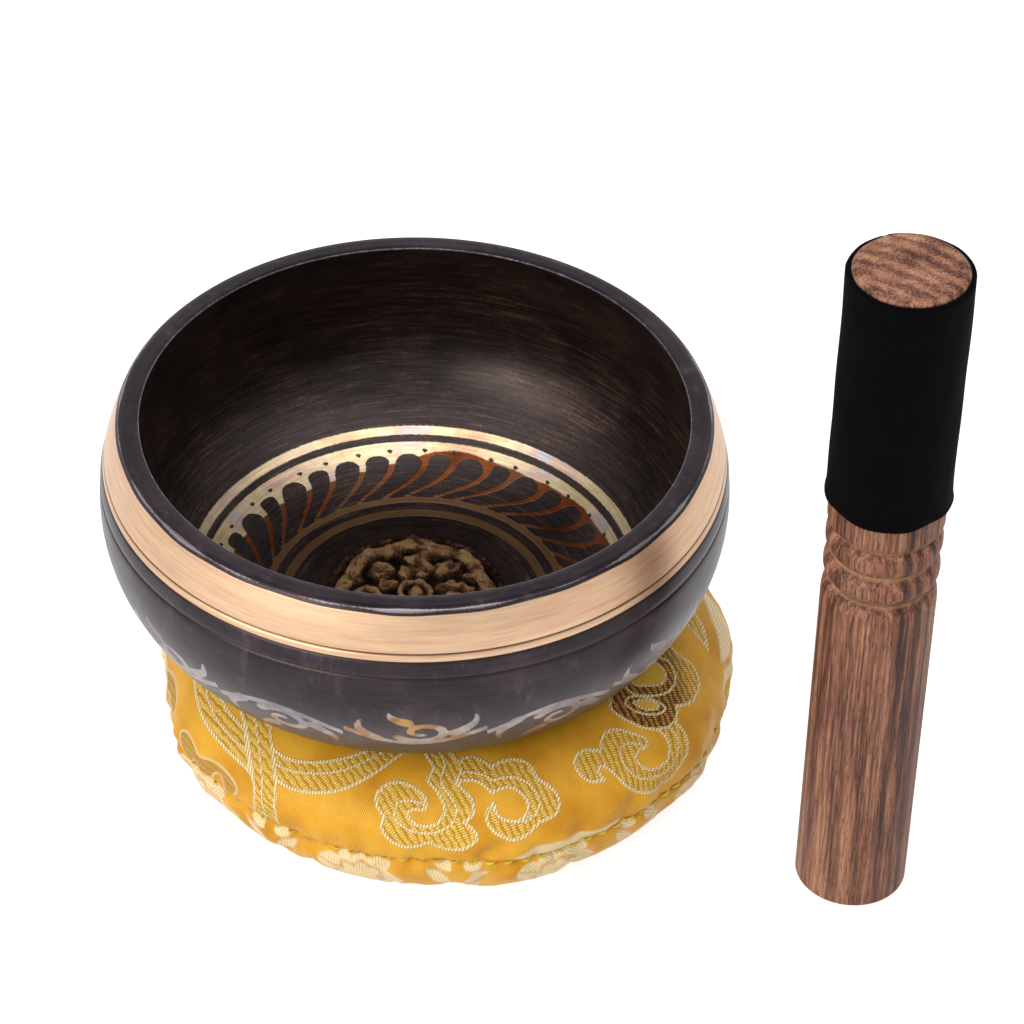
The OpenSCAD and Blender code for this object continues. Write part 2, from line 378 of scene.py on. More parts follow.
def bronze_material():
    """Cast bell bronze under a dark heat patina, with a turned bare band and gilt in the etched lines.

    It gives the eye a near-black aubergine skin with fine lathe lines, a brushed peach band at the rim, dark
    lines painted in its grooves as their shade, bare rim edges painted pale as their highlight, and pale gold
    leaf that turns to rust red lower down: worn gilding, and a painted darker reflection.
    """
    material, tree = new_material("patinated_bronze")
    turned = add(tree, "Attribute", attribute_name="turned").outputs["Vector"]
    place = add(tree, "TexCoord").outputs["Object"]
    zone = {name: add(tree, "Attribute", attribute_name=name).outputs["Fac"]
            for name in ("bare", "gilt", "etch", "shaded_groove", "inside", "lip", "reach", "wear_and_reflection")}
    # lathe lines 0.4 mm apart and 8 mm long round the bowl, and streaks 1.1 mm wide and 20 mm long
    lines = streaked(tree, turned, (0.12, 0.12, 2.6), 3, 0.65)
    streaks = streaked(tree, turned, (0.05, 0.05, 0.9), 4, 0.6)
    # patina blotches about 14 mm across, wear specks of 0.7 mm, and smears that run up the side
    blotch = add(tree, "TexNoise", {"Vector": place, "Scale": 70, "Detail": 5, "Roughness": 0.62})
    speck = add(tree, "TexNoise", {"Vector": place, "Scale": 1500, "Detail": 2, "Roughness": 0.6})
    smear = streaked(tree, turned, (0.22, 0.22, 0.09), 4, 0.7, (9, 4, 2))

    def edge(distance, low, high, rough, most):
        """A mask from a distance in millimetres, its edge broken up by the specks."""
        ragged = add(tree, "Math", {0: speck, 1: rough, 2: distance}, operation="MULTIPLY_ADD")
        shift = add(tree, "Math", {0: ragged, 1: rough / 2}, operation="SUBTRACT")
        return add(tree, "MapRange", {"Value": shift, "From Min": low, "From Max": high, "To Max": most})

    skin = add(tree, "ValToRGB", {"Fac": blotch},
               stops=[(0.3, "#1E161B"), (0.5, "#281F25"), (0.62, "#352A32"), (0.75, "#3E2C25")])
    turning = weighted(tree, (lines, 1), (streaks, 0.9))
    turning = add(tree, "MapRange", {"Value": turning, "From Min": 0.65, "From Max": 1.25,
                                     "To Min": 0.55, "To Max": 1.35})
    skin = lay_over(tree, skin, [(0.85, turning)], "MULTIPLY")
    worn = weighted(tree, (lines, 0.42), (streaks, 0.16), (blotch, 0.24), (speck, 0.15))
    skin_inside = add(tree, "ValToRGB", {"Fac": worn},
                      stops=[(0.36, "#120C0C"), (0.46, "#231918"), (0.54, "#382A26"), (0.64, "#6E5036")])
    outside = add(tree, "Math", {0: 1.0, 1: zone["inside"]}, operation="SUBTRACT")
    scuffs = add(tree, "MapRange", {"Value": smear, "From Min": 0.56, "From Max": 0.78, "To Max": 0.12})
    scuffs = add(tree, "Math", {0: scuffs, 1: outside}, operation="MULTIPLY")
    skin = lay_over(tree, skin, [(zone["inside"], skin_inside), (scuffs, "#A39AA6")])

    peach = add(tree, "ValToRGB", {"Fac": streaks},
                stops=[(0.3, "#C69C80"), (0.45, "#CCA88A"), (0.6, "#D2B190"), (0.75, "#C69A80")])
    brushing = add(tree, "MapRange", {"Value": lines, "From Min": 0.3, "From Max": 0.7,
                                      "To Min": 0.86, "To Max": 1.06})
    peach = lay_over(tree, peach, [(1.0, brushing)], "MULTIPLY")
    etched = add(tree, "ValToRGB", {"Fac": blotch},
                 stops=[(0.3, "#6E4630"), (0.44, "#847B80"), (0.55, "#A8A09E"), (0.64, "#94683E"),
                        (0.72, "#B08A58")])

    pale_gold = add(tree, "ValToRGB", {"Fac": blotch},
                    stops=[(0.3, "#B98C7C"), (0.42, "#CDAF88"), (0.52, "#DCC8A0"), (0.6, "#CFAF9E"),
                           (0.7, "#B4BCC4")])
    # rust red for worn gilding, and painted as the darker reflection that the lower border shows
    rust = add(tree, "ValToRGB", {"Fac": blotch},
               stops=[(0.3, "#4A2616"), (0.5, "#7E4322"), (0.7, "#6E543E")])
    wear_and_reflection = add(tree, "Math", {0: blotch, 1: 3.2, 2: zone["wear_and_reflection"]}, operation="MULTIPLY_ADD")
    unworn_and_lit = add(tree, "MapRange", {"Value": wear_and_reflection, "From Min": 1.45, "From Max": 1.75})
    # the two inner rings are plain brown gold
    inner = add(tree, "MapRange", {"Value": zone["reach"], "From Min": 31.5, "From Max": 29.5, "To Max": 0.9})
    gold = lay_over(tree, rust, [(unworn_and_lit, pale_gold), (inner, "#8A6A4A")])
    scored = add(tree, "MapRange", {"Value": lines, "From Min": 0.32, "From Max": 0.66,
                                    "To Min": 0.62, "To Max": 1.08})
    gold = lay_over(tree, gold, [(0.8, scored)], "MULTIPLY")

    etch = edge(zone["etch"], -0.06, 0.16, 0.3, 0.85)
    gilt = edge(zone["gilt"], -0.05, 0.12, 0.25, 0.94)
    bare = edge(zone["bare"], 0, 0.12, 0.12, 1)
    # the rim's edges: bare metal, painted pale as their highlight
    lip = edge(zone["lip"], 0, 0.2, 0.4, 0.9)
    # dark brown painted along the grooves and the band's lower edge, as their shade
    shaded_groove = add(tree, "MapRange", {"Value": zone["shaded_groove"], "From Min": -0.1, "From Max": 0.12, "To Max": 0.82})
    colour = lay_over(tree, skin, [(etch, etched), (gilt, gold), (bare, peach), (lip, "#8C8489"),
                                   (shaded_groove, "#2A1C12")])
    bright = strongest(tree, gilt, bare, lip, etch)
    metallic = add(tree, "MapRange", {"Value": bright, "To Min": 0.6, "To Max": 1.0})
    dull = add(tree, "MapRange", {"Value": blotch, "From Min": 0.3, "From Max": 0.7,
                                  "To Min": 0.24, "To Max": 0.36})
    dull = add(tree, "Math", {0: lines, 1: 0.1, 2: dull}, operation="MULTIPLY_ADD")
    rough = add(tree, "Mix", {0: bright, 2: dull, 3: 0.38})
    scratches = add(tree, "Bump", {"Height": lines, "Strength": 0.28, "Distance": 0.00006})
    raised = add(tree, "Bump", {"Height": bright, "Strength": 0.35, "Distance": 0.00008, "Normal": scratches})
    shader = add(tree, "BsdfPrincipled", {"Base Color": colour, "Metallic": metallic, "Roughness": rough,
                                          "Normal": raised})
    add(tree, "OutputMaterial", {0: shader})
    return material


def make_bowl():
    """The bowl itself, one casting turned from foot to floor, with its border and scroll marked on it."""
    outline, lip_start, lip_end = bowl_outline()
    bowl = lathe("singing_bowl", outline, (BOWL_X, 0), 540)
    points = points_of(bowl)
    radius, angle, row = rows_of(points, (BOWL_X, 0), outline)
    steps = np.hypot(*np.diff(np.array(outline), axis=0).T)
    along = np.concatenate([[0], np.cumsum(steps)])[row]
    drop = RIM_Z - points[:, 2]
    inside = row >= lip_end
    outside = row < lip_start
    store(bowl, "turned", np.column_stack([points[:, 0] - BOWL_X, points[:, 1], along]))
    store(bowl, "inside", inside.astype(float))
    uneven = 0.12 * np.sin(7 * angle) + 0.08 * np.sin(23 * angle + 1)
    store(bowl, "bare", np.where(outside, np.minimum(drop - 0.8 - uneven, 9.62 - drop), -3))
    # painted shade along the grooves and the band's lower edge, and along the line between lip and band, each
    # with half its width
    lines = [(UPPER_GROOVE, 0.2), (BAND_EDGE, 0.24), (LOWER_GROOVE, 0.3), (0.72, 0.1)]
    groove_shade = np.max([half - np.abs(drop - middle) for middle, half in lines], axis=0)
    store(bowl, "shaded_groove", np.where(outside, groove_shade, -3))
    # a pale strip along the rim's outer and inner edges: bare rubbed metal, painted lighter as the highlight
    # these edges catch
    rim = (0.26 + 1.5 * uneven) - np.hypot(radius - (RIM_R - 0.1), drop - 0.2)
    hem = 0.22 - np.hypot(radius - (RIM_R - RIM_WALL + 0.1), drop - 0.1)
    store(bowl, "lip", np.maximum(rim, hem))
    store(bowl, "gilt", np.where(inside, leaf_border(radius, angle), -3))
    store(bowl, "reach", radius)
    # below this radius the gilding turns rust red: partly worn gilding, partly a painted darker reflection of
    # the lower border; the edge sits further up on the right than on the left
    store(bowl, "wear_and_reflection", radius - (38.0 + 1.5 * np.tanh(7 * np.cos(angle)) + 0.3 * np.sin(5 * angle)))
    store(bowl, "etch", np.where(outside & (drop > 14), vine_scroll(points[:, 2] - FOOT_Z, angle), -3))
    finish_piece(bowl, "bowl", bronze_material(), 35)
    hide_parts("bowl")


# ------------------------------------------------------------------ the cast relief on the bowl's floor
def relief_material():
    """Cast bronze left rough from the mould: dark in the hollows and rubbed to brown gold on the tops."""
    material, tree = new_material("cast_bronze_relief")
    place = add(tree, "TexCoord").outputs["Object"]
    height = add(tree, "Attribute", attribute_name="height").outputs["Fac"]
    # casting grain about 0.6 mm across, and patches of 3 mm
    grain = add(tree, "TexNoise", {"Vector": place, "Scale": 1600, "Detail": 4, "Roughness": 0.75})
    patch = add(tree, "TexNoise", {"Vector": place, "Scale": 350, "Detail": 4, "Roughness": 0.65})
    level = weighted(tree, (height, 1), (grain, 2.6), (patch, 2.4))
    level = add(tree, "Math", {0: level, 1: 5.7}, operation="DIVIDE")
    colour = add(tree, "ValToRGB", {"Fac": level},
                 stops=[(0.48, "#050302"), (0.59, "#170D09"), (0.69, "#3C281C"), (0.77, "#6E4D34"),
                        (0.87, "#BC966C")])
    rough = add(tree, "MapRange", {"Value": patch, "From Min": 0.3, "From Max": 0.7,
                                   "To Min": 0.34, "To Max": 0.56})
    bump = add(tree, "Bump", {"Height": patch, "Strength": 1.0, "Distance": 0.0016})
    bump = add(tree, "Bump", {"Height": grain, "Strength": 1.0, "Distance": 0.0008, "Normal": bump})
    shader = add(tree, "BsdfPrincipled", {"Base Color": colour, "Metallic": 0.9, "Roughness": rough,
                                          "Normal": bump})
    add(tree, "OutputMaterial", {0: shader})
    return material


def relief_height(radius, angle):
    """The relief's height above the floor: a roped edge, a lobed ring, eight bosses and a middle dome."""
    x, y = radius * np.cos(angle), radius * np.sin(angle)
    # the casting is far from regular: every knot is pulled out of true
    bent_x = x + 0.45 * np.sin(1.3 * y + 1) + 0.25 * np.sin(2.9 * y + 0.6 * x)
    bent_y = y + 0.45 * np.sin(1.1 * x + 2) + 0.25 * np.sin(2.7 * x - 0.8 * y)
    bent_radius, bent_angle = np.hypot(bent_x, bent_y), np.arctan2(bent_y, bent_x)

    def knot(centre_r, centre_a, long, wide, tall, dent):
        """One cast knot, longer towards the middle than across, with a hollow in its top."""
        outward = bent_radius * np.cos(bent_angle - centre_a) - centre_r
        across = bent_radius * np.sin(bent_angle - centre_a)
        spread = np.hypot(outward / long, across / wide)
        return tall * np.clip(1 - spread ** 3, 0, 1) ** 0.6 - dent * np.exp(-((spread - 0.1) / 0.35) ** 2)

    rope = 0.6 * np.sqrt(np.clip(1 - ((radius - 17) / 0.7) ** 2, 0, 1))
    rope *= 0.8 + 0.2 * np.sin(72 * angle + radius * 2.5)
    lobes = 14.5 - 1.0 * np.abs(np.sin(4 * angle)) ** 2
    ring = 1.2 * np.clip(1 - ((radius - lobes) / 1.7) ** 6, 0, 1) ** 0.5
    height = np.maximum(rope, ring)
    for number in range(8):
        turn = TURN * number / 8 + 0.08 * math.sin(number * 2.1)
        big = number % 2 == 0
        height = np.maximum(height, knot(9.2 if big else 9.6, turn, 3.4 if big else 2.6, 2.8, 1.5, 0.9))
        height = np.maximum(height, knot(6.3, turn + 0.36, 2.3, 1.5, 1.35, 0.5))
        height = np.maximum(height, knot(12, turn + 0.4, 1.2, 1.5, 1.0, 0.3))
    collar = 1.5 * np.sqrt(np.clip(1 - ((radius - 3) / 0.7) ** 2, 0, 1))
    dome = 1.5 * np.sqrt(np.clip(1 - (radius / 1.8) ** 2, 0, 1))
    height = np.where(radius < 3.7, np.maximum(collar, dome), height)
    rough = np.sin(1.1 * x + 0.7 * y) * np.sin(0.9 * y - 0.5 * x + 1)
    rough += 0.3 * np.sin(2.3 * x + 2) * np.sin(1.9 * y)
    grain = np.sin(5.3 * x + 2 * np.sin(2.1 * y)) * np.sin(4.9 * y + 2 * np.sin(2.3 * x))
    return 0.9 + height * (1.15 + 0.2 * rough) + 0.12 * rough + 0.07 * grain * height


def make_relief():
    """The cast medallion that stands up from the floor inside the bowl."""
    floor = FOOT_Z + FLOOR_T
    top = [(r, floor + 1) for r in np.linspace(0, RELIEF_R - 0.3, 72)]
    outline = top + [(RELIEF_R - 0.05, floor + 0.6), (RELIEF_R, floor - 0.05), (RELIEF_R / 2, floor - 0.05),
                     (0, floor - 0.05)]
    relief = lathe("bowl_floor_relief", outline, (BOWL_X, 0), 264)
    points = points_of(relief)
    radius, angle, row = rows_of(points, (BOWL_X, 0), outline)
    raised = relief_height(radius, angle)
    on_top = row < len(top)
    points[:, 2] = np.where(on_top, floor + raised, points[:, 2])
    move_points(relief, points)
    store(relief, "height", np.where(on_top, raised, 0))
    finish_piece(relief, "bowl", relief_material(), 80)


# ------------------------------------------------------------------ the ring cushion
# Brocade clouds, drawn on the flat cloth in millimetres: x to the right, y towards the back, from the
# ring's middle. Each is a closed outline; a point given twice is a sharp corner. A ribbon runs inside
# its figure, so it ends along the figure's own edge.
SWIRL = [(-4, -37), (-3.9, -41), (-2.5, -44), (-3.6, -46.5), (-1.8, -49), (-0.5, -52), (-1.6, -54.4),
         (-3.6, -55.2), (-5.8, -54.8), (-7.4, -53.2), (-6.8, -51.9), (-4.4, -52.1), (-4.1, -50.2),
         (-5.6, -48.4), (-8, -46.9), (-10.6, -46.6), (-12.9, -48), (-13.4, -50.3), (-12, -52.6), (-12, -52.6),
         (-12.7, -54.6), (-11.4, -57), (-9, -58.6), (-6, -59), (-3.4, -58.4), (-3.4, -58.4), (-1.4, -59.6),
         (2, -59.8), (4.7, -58.4), (5.7, -56.9), (4.9, -55.4), (3.2, -54.4), (3.2, -54.4), (4.8, -52.5),
         (4.5, -50), (3, -48.4), (1.4, -47), (1.4, -47), (2.6, -45), (2.2, -43), (1, -41), (0.6, -37)]
SWIRL_RIBBON = [(-1.4, -37), (-1.2, -41), (-0.4, -43.5), (-1.1, -47.2), (0.8, -50.2), (1.7, -52.2),
                (1.3, -54.2), (-0.7, -55.7), (-3.2, -56.5), (-6.4, -56), (-9.2, -54.3), (-10.2, -52.4),
                (-9.8, -50.9), (-8.2, -50.2), (-6.2, -50.5), (-4.4, -51.2)] + SWIRL[11::-1]
WING = [(2.2, -43.2), (3.2, -41.8), (5, -41.5), (8.2, -43.3), (8.2, -43.3), (10.2, -42), (13, -41.6),
        (15.2, -42.6), (16.7, -45), (18.8, -46.1), (20.8, -47.9), (21.2, -50.2), (19.8, -51.7),
        (17.6, -52.7), (17.6, -52.7), (16.3, -54.2), (14.6, -55.8), (12, -56.5), (9.2, -55.6), (7.5, -53.6),
        (7.6, -51.6), (8.7, -50.3), (8.7, -50.3), (9.3, -52.3), (11, -53), (13.4, -52.9), (15, -51.3),
        (14.8, -49.3), (13.2, -47.6), (11, -47), (8.2, -48.3), (8.2, -48.3), (6.2, -46.8), (4.2, -46.3),
        (1.6, -46.9), (2.6, -45)]
WING_RIBBON = [(2.6, -45), (6, -44.9), (8.3, -46), (8.3, -46), (10.5, -45.2), (13.2, -45.2), (15.4, -46.4),
               (17, -48.4), (17.1, -50.4), (15.8, -52.2), (13.8, -53)] + WING[-10:-1]
HOOK = [(43.2, -27.5), (45.6, -28.4), (47.2, -30), (47.9, -32.2), (47.9, -32.2), (47.5, -35), (46.9, -38),
        (45, -40.2), (42, -42.3), (38.6, -43.5), (35.4, -43.3), (32.4, -41.9), (30.3, -40.8), (28.7, -41),
        (28.7, -41), (28.7, -42), (30, -43.3), (30, -43.3), (27.6, -44.2), (25.2, -43.4), (23.8, -41.4),
        (24.3, -39.6), (26, -38.3), (28.8, -38), (28.8, -38), (29, -35.6), (30.2, -33.6), (32.4, -32.7),
        (35.2, -32.9), (37.8, -33), (38.4, -34.3), (37, -35.6), (36.2, -37), (37.2, -38.3), (39.3, -38.7),
        (41.8, -37.6), (43.4, -35.5), (43.5, -33.2), (42.2, -31.3), (40.4, -30.2), (42.3, -29)]
HOOK_RIBBON = [(37.8, -34.6), (35.5, -34.8), (33.5, -35.6), (32.8, -37.2), (34.1, -39.5), (37, -40.9),
               (40.2, -40.3), (43.2, -38.4), (45.2, -35.8), (45.6, -33), (44.8, -30.6), (42.8, -29.1),
               (40.6, -30.2)] + HOOK[-3:-11:-1]
CLOUD = [(39, -8), (42.6, -10.6), (44.6, -12.4), (47, -13.1), (48.4, -15), (48.9, -17.6), (47.9, -20.2),
         (46, -22.6), (43.6, -24), (43.6, -24), (43.8, -26.6), (42.4, -29), (40, -30.4), (37, -31),
         (33.6, -30.3), (31.2, -29), (30.6, -27), (31.5, -22), (34, -14)]
CLOUD_EYES = [[(41.5, -14.4), (43.1, -16.6), (43.2, -19.2), (41.6, -21.8), (38.6, -23.6), (34.6, -24),
               (33, -20), (36, -14)],
              [(33.4, -26.6), (35, -27.9), (37.8, -28), (40.2, -27), (41.3, -25.2), (38, -24.4),
               (34.6, -24.9)]]
CLOUD_CORES = [[(40.2, -16), (41.4, -18), (40.6, -20.2), (38, -21.5), (35, -21.9), (35.4, -18.6),
                (37.6, -16)],
               [(35, -26.2), (37.4, -27), (39.6, -26.2), (39.8, -25.1), (37.4, -24.9)]]
POST = [(-38.6, -25), (-38, -31), (-37.9, -40), (-38.9, -43.8), (-41.2, -46.8), (-43.6, -48.6), (-41, -51),
        (-38, -53), (-35.4, -48.6), (-33.6, -45), (-33.2, -41), (-33.3, -34), (-33.8, -28)]
POST_RIBBON = [(-36.3, -25), (-36, -31), (-35.9, -40), (-36.8, -44.5), (-38.8, -48),
               (-41.2, -50.6)] + POST[5::-1]
LEFT_ARC = [(-48.4, -14), (-47.6, -21), (-45.6, -28), (-42.4, -34), (-38.4, -39.4), (-38.4, -39.4),
            (-38.4, -31), (-38.4, -31), (-41.2, -26), (-43.2, -20), (-43.6, -14)]
LEFT_ARC_RIBBON = [(-45.4, -14), (-45.4, -20), (-43.6, -27), (-41, -32), (-38.4, -35.2),
                   (-38.4, -35.2)] + LEFT_ARC[6:]
LOW_ARC = [(-33, -36.7), (-33, -36.7), (-29.6, -39.4), (-25, -40.9), (-20, -41), (-15, -39.6), (-11, -37),
           (-6, -38), (-9.6, -41.6), (-14.6, -45), (-20, -46.8), (-25, -46.6), (-29.6, -45), (-33, -42.4),
           (-33, -42.4)]
LOW_ARC_RIBBON = [(-33, -39.4), (-33, -39.4), (-29, -41.8), (-24, -43.2), (-19, -43.1), (-14, -41.2),
                  (-9, -38)] + LOW_ARC[6::-1]
TAN_HOOK = [(-56.6, -30), (-55.4, -27), (-53.2, -25.1), (-51.2, -26.2), (-50.2, -29), (-49.6, -31.8),
            (-46.6, -34.4), (-44, -37.6), (-42.8, -40.2), (-43.6, -41.8), (-45.8, -42), (-47.6, -40.4),
            (-46.4, -39.2), (-46.6, -37.4), (-48.4, -36.4), (-50.8, -36.6), (-51.8, -34), (-52.6, -31.6),
            (-54, -31.2), (-55.4, -32.4)]
TAN_CURL = [(-56, -20.4), (-54.2, -19), (-53.9, -16), (-55, -12), (-57.6, -8), (-60.4, -7), (-61, -10),
            (-58.8, -12), (-57.2, -14.6), (-57.6, -17.4)]
LEAF = [(46, 2), (46, 2), (49.2, -1.6), (50.8, -7.4), (50.8, -7.4), (48.4, -5.4), (46.2, -3)]
PALE_LEAVES = [[(51, 10), (54.5, 7), (57, 1), (56.6, -5), (54.4, -8.6), (54.4, -8.6), (53.4, -3), (51.6, 2)],
               [(58, 12), (60.5, 6), (61.4, -2), (59.4, -9), (56.4, -14.6), (56.4, -14.6), (57, -8),
                (58.6, -2)],
               [(14, -60.6), (17.4, -58.4), (22, -56.4), (27, -54.8), (32, -52.6), (37, -50), (34, -54.2),
                (27, -57.8), (20, -60.6)],
               [(-36.6, -54.4), (-34.6, -56), (-31, -57.4), (-26.8, -58.6), (-28, -61), (-33, -60.4)]]
FIGURES = {
    "figure": [SWIRL, WING, HOOK, CLOUD, POST, LEFT_ARC, LOW_ARC, LEAF],
    "ribbon": [SWIRL_RIBBON, WING_RIBBON, HOOK_RIBBON, POST_RIBBON, LEFT_ARC_RIBBON, LOW_ARC_RIBBON,
               *CLOUD_EYES],
    "core": CLOUD_CORES,
    "tan": [TAN_HOOK, TAN_CURL],
    "pale": PALE_LEAVES,
}

STITCHES = 104
HOLE_STITCHES = 14


def cover_outline():
    """The cushion's section: up from the seam over the crest and down the hole, then out underneath."""
    top = arc((CREST_R, SEAM_H), (CUSHION_R - CREST_R, CUSHION_H - SEAM_H), 0, 90, 54)
    well = arc((CREST_R, SEAM_H), (CREST_R - HOLE_R, CUSHION_H - SEAM_H), 90, 180, 34)
    under_in = arc((HOLE_R + UNDER_ROUND, SEAM_H), (UNDER_ROUND, SEAM_H), 180, 270, 14)
    flat = [(r, 0.0) for r in np.linspace(HOLE_R + UNDER_ROUND, CUSHION_R - UNDER_ROUND, 6)[1:]]
    under_out = arc((CUSHION_R - UNDER_ROUND, SEAM_H), (UNDER_ROUND, SEAM_H), -90, -1, 34)
    start = (CUSHION_R, SEAM_H + 0.02)
    return [start] + top + well + under_in + flat + under_out + [start], len(top)


def underside_of_bowl(distance):
    """The height of the bowl's underside, at a distance from the bowl's own middle."""
    share = np.clip((distance - FOOT_R) / (BOWL_R - FOOT_R), 0, 1)
    return FOOT_Z + BELLY_H * (1 - np.sqrt(1 - share ** 2))


def seam_push(angle):
    """How far the hand-stuffed cover stands out or in at the seam, round the ring."""
    return (0.55 * np.sin(2 * angle + 2.4) + 0.5 * np.sin(5 * angle + 2.1) + 0.4 * np.sin(9 * angle + 0.4)
            + 0.22 * np.sin(14 * angle + 1.7))


def seam_height(angle):
    """The height of the outer seam round the ring, which is sewn by hand and so not quite level."""
    return SEAM_H + 0.5 * np.sin(4 * angle + 1)


def petalled(x, y, petals, size):
    """How far a point is inside a woven flower: two rounds of petals with thin gaps of ground between."""
    radius, angle = np.hypot(x, y), np.arctan2(y, x)
    outer = size * (0.66 + 0.34 * np.abs(np.cos(petals * angle / 2)) ** 0.7)
    inner = size * (0.34 + 0.2 * np.abs(np.sin(petals * angle / 2)) ** 0.7)
    gap = 0.35 - np.abs(np.sin(petals * angle / 2)) * radius * 0.55
    round_gap = 0.38 - np.abs(radius - inner)
    heart = 0.16 * size - radius
    petal = np.minimum(outer - radius, -np.maximum(np.where(radius > inner, gap, -9), round_gap))
    return np.maximum(petal, heart)


def sprays(x, y):
    """How far a point is inside the pairs of slim leaves between two flowers."""
    best = np.full(len(x), -9.0)
    for side in (1, -1):
        for lift, long in ((4.6, 5.6), (0.2, 6.8), (-4.4, 5.2)):
            along = (x * side - 1) * 0.9 + (y - lift) * 0.42
            across = (y - lift) * 0.9 - (x * side - 1) * 0.42 - 0.04 * along ** 2
            share = np.clip(along / long, 0, 1)
            leaf = 1.5 * np.sin(math.pi * share ** 0.8) - np.abs(across)
            best = np.maximum(best, np.where((along > 0) & (along < long), leaf, -9))
    return best


def brocade(cover, flat_x, flat_y, below):
    """Stores, for each point of the cloth, how far it is inside each figure of the woven pattern."""
    for name, outlines in FIGURES.items():
        inside = np.full(len(flat_x), -4.0)
        for outline in outlines:
            # each figure comes twice, the second time turned half round the ring
            smooth = smooth_outline(outline)
            inside = np.maximum(inside, inside_by(flat_x, flat_y, smooth))
            inside = np.maximum(inside, inside_by(-flat_x, -flat_y, smooth))
        inside = np.where(below, -4, inside)
        if name == "pale":
            angle, reach = np.arctan2(flat_y, flat_x), np.hypot(flat_x, flat_y)
            for count, ring, size, petals in ((9, 57.5, 9.2, 7), (9, 46, 6, 5)):
                # the inner round of flowers stands half a step on from the outer one
                pitch = TURN / count
                place = angle / pitch + 0.2 + (0 if ring > 50 else 0.5)
                local = (place - np.floor(place) - 0.5) * pitch
                flower = petalled(local * ring, reach - ring, petals, size)
                sprig = sprays((local - 0.5 * pitch * np.sign(local)) * ring, reach - ring)
                inside = np.where(below, np.maximum(inside, np.maximum(flower, sprig)), inside)
        store(cover, name, np.clip(inside, -4, 4))


